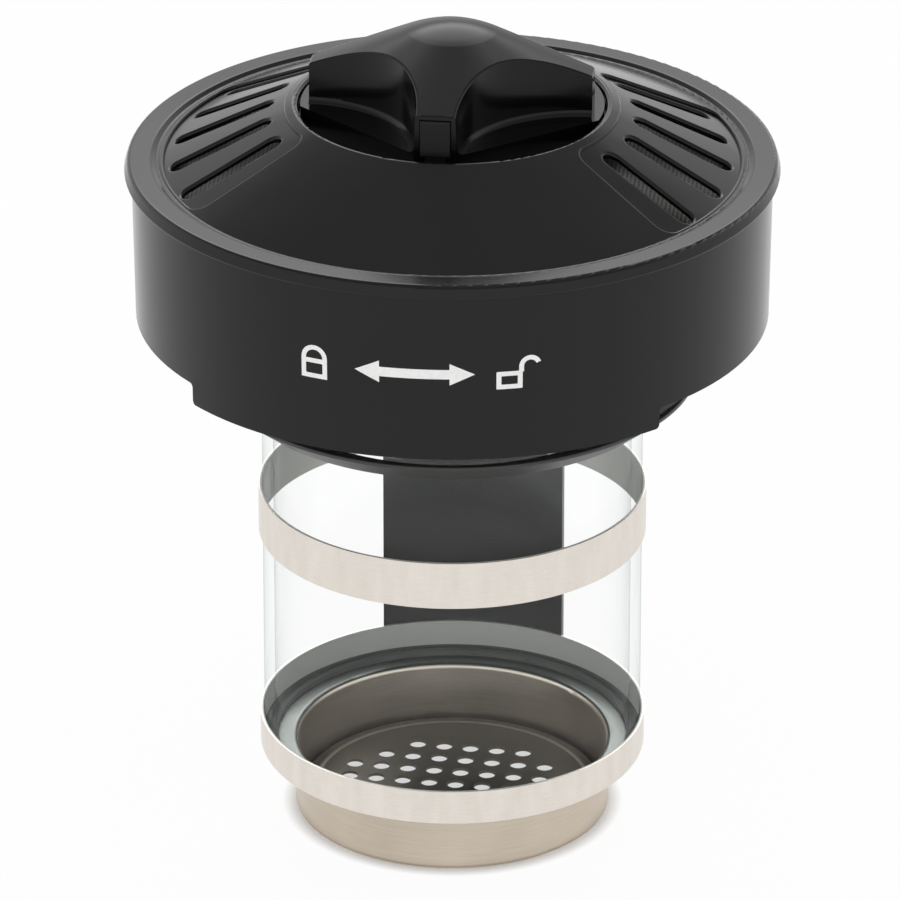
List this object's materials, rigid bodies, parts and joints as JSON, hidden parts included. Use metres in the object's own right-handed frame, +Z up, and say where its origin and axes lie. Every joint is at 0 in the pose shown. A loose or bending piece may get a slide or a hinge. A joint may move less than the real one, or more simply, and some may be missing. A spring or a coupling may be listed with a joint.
{
  "type": "coffee roaster chamber with chaff collector",
  "caption": "Roasting chamber of a hot-air coffee bean roaster: steel-banded glass on a perforated steel cup, back handle, lift-off drum chaff collector with vented twist-lock cover",
  "frame": {"origin": "on the chamber's axis at the foot of its base cup", "axes": "+Z up along the chamber, -Y towards the printed front of the collector, +Y towards the handle, +X to the right seen from the front"},
  "size_m": [0.1756, 0.1882, 0.2316],
  "materials": {
    "clear_glass": "clear heat-proof glass",
    "drawn_steel": "drawn stainless sheet, satin",
    "brushed_band": "stainless strip brushed along its length",
    "woven_steel": "fine woven stainless mesh",
    "screw_steel": "plain stainless",
    "spring_steel": "spring wire",
    "black_silicone": "matte silicone rubber",
    "black_moulding": "fine satin moulding",
    "black_gloss": "glossy moulding"
  },
  "bodies": {
    "chamber": {"glass_chamber": "clear_glass", "base_cup": "drawn_steel", "air_plate": "drawn_steel", "lower_band": "brushed_band", "upper_band": "brushed_band", "glass_gasket": "black_silicone", "handle_frame": "black_moulding", "handle_grip": "black_moulding", "handle_studs": "screw_steel"},
    "collector": {"drum": "black_gloss", "collector_base": "black_moulding", "rim_seal": "black_silicone", "chimney": "drawn_steel", "chimney_screws": "screw_steel"},
    "cover": {"cover": "black_gloss", "screen_frame": "drawn_steel", "filter_screen": "woven_steel", "screen_screws": "screw_steel"},
    "knob": {"knob": "black_gloss", "lock_plate": "drawn_steel", "knob_washer": "screw_steel", "knob_screw": "screw_steel", "latch_spring": "spring_steel"},
    "latch": {"latch_button": "black_moulding"}
  },
  "joints": [
    {"name": "collector_lift", "type": "slide", "parent": "chamber", "child": "collector", "axis": [0, 0, 1], "range_m": [0, 0.06]},
    {"name": "cover_lift", "type": "slide", "parent": "collector", "child": "cover", "axis": [0, 0, 1], "range_m": [0, 0.06]},
    {"name": "knob_twist", "type": "hinge", "parent": "cover", "child": "knob", "pos_m": [0, 0, 0.2], "axis": [0, 0, 1], "range_deg": [-17.4, 19.2]},
    {"name": "latch_press", "type": "slide", "parent": "knob", "child": "latch", "axis": [0, 1, 0], "range_m": [0, 0.002], "stiffness_N_per_m": 500, "springref_m": -0.002, "deforming": ["latch_spring"]}
  ]
}
